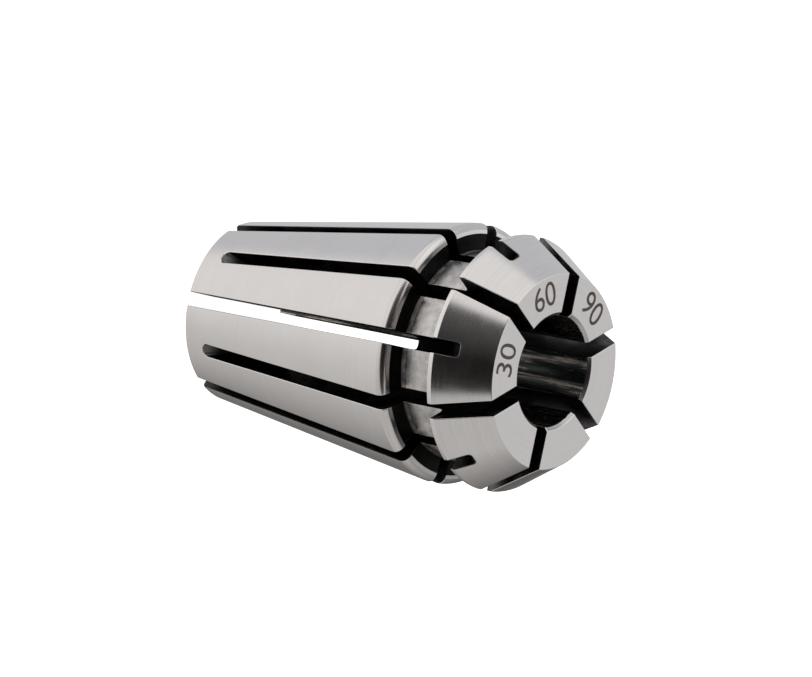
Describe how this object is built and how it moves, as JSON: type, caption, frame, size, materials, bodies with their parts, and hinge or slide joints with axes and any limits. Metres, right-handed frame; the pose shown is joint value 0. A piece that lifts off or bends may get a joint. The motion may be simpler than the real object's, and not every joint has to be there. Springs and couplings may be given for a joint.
{
  "type": "spring collet",
  "caption": "Slit spring collet with a long rear taper, a nut groove, a short front cone and a round bore that grips a tool shank.",
  "frame": {"origin": "centre of the rear face, the small end, on which the collet stands", "axes": "+Z along the bore from the rear face to the front face, +X through the middle of a cut that opens at the rear face, +Y by the right-hand rule"},
  "size_m": [0.0118, 0.0118, 0.018],
  "materials": {
    "ground_steel": "hardened steel, ground satin"
  },
  "bodies": {
    "root": {"collet": "ground_steel"}
  },
  "joints": []
}
